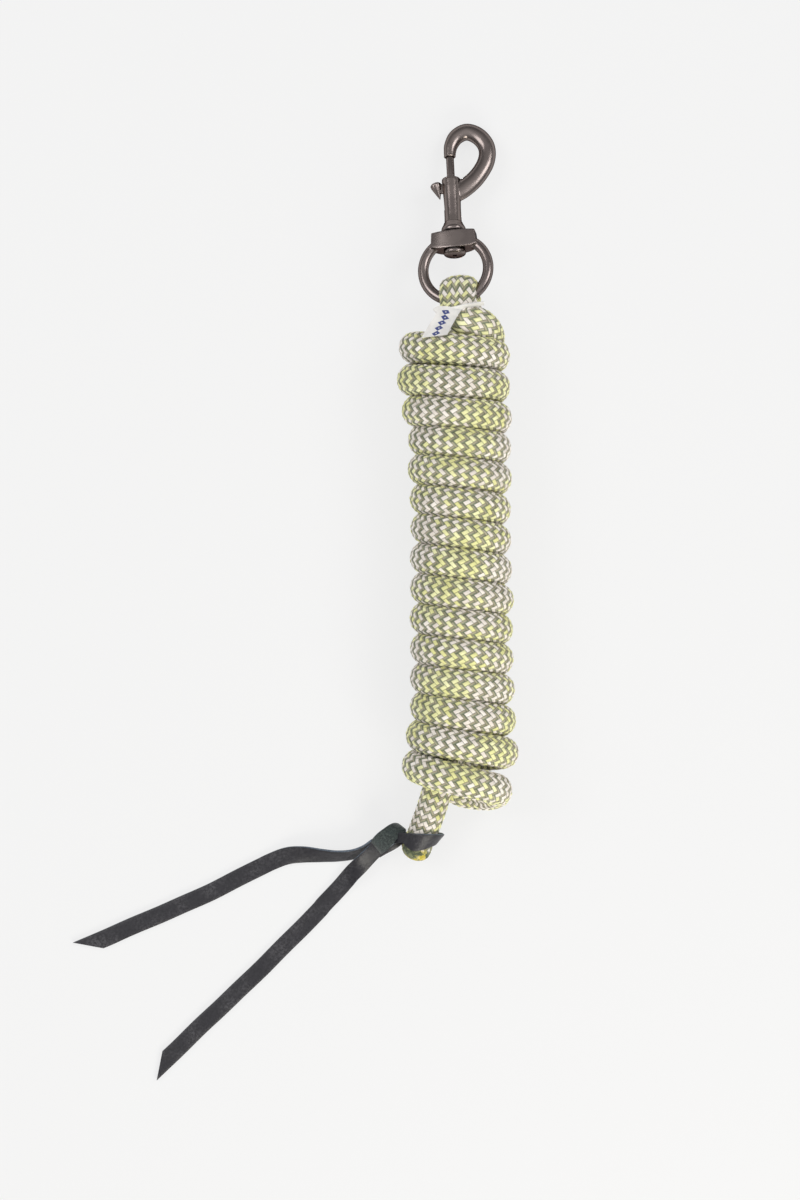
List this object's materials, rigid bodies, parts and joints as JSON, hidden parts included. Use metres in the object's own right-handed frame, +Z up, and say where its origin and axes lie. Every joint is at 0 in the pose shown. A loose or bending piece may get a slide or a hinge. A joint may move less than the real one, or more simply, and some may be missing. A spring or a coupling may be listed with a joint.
{
  "type": "lead rope",
  "caption": "Braided lead rope wound in a hank, with a swivelling bolt snap spliced to one end and a knotted leather popper on the other.",
  "frame": {"origin": "middle of the footprint, on the surface that the rope lies on", "axes": "+Y along the hank towards the snap's hook, +Z up from the surface, +X to the hook's side"},
  "size_m": [0.2104, 0.453, 0.0502],
  "materials": {
    "gunmetal": "satin gunmetal plating on a cast snap",
    "spring_steel": "drawn spring wire",
    "braided_rope": "braided synthetic rope in sage green, khaki, cream and yellow strands",
    "woven_tape": "pale grey woven label tape",
    "black_leather": "smooth black grain with a fibrous flesh side"
  },
  "bodies": {
    "rope": {"rope_hank": "braided_rope", "rope_eye": "braided_rope", "rope_tail": "braided_rope", "woven_label": "woven_tape", "popper_strap": "black_leather"},
    "eye": {"swivel_eye": "gunmetal"},
    "snap": {"snap_body": "gunmetal", "swivel_rivet": "gunmetal", "gate_spring": "spring_steel"},
    "gate": {"gate_bolt": "gunmetal", "thumb_stud": "gunmetal"}
  },
  "joints": [
    {"name": "eye_tilt", "type": "hinge", "parent": "rope", "child": "eye", "pos_m": [0.0765, 0.141, 0.026], "axis": [0.9817, 0.0909, 0.1674], "range_deg": [-60, 100]},
    {"name": "snap_swivel", "type": "hinge", "parent": "eye", "child": "snap", "pos_m": [0.0765, 0.141, 0.026], "axis": [-0.0437, 0.9629, -0.2662], "continuous": true},
    {"name": "gate_slide", "type": "slide", "parent": "snap", "child": "gate", "axis": [0.0437, -0.9629, 0.2662], "range_m": [0, 0.0085], "stiffness_N_per_m": 400, "springref_m": -0.005, "deforming": ["gate_spring"]}
  ]
}
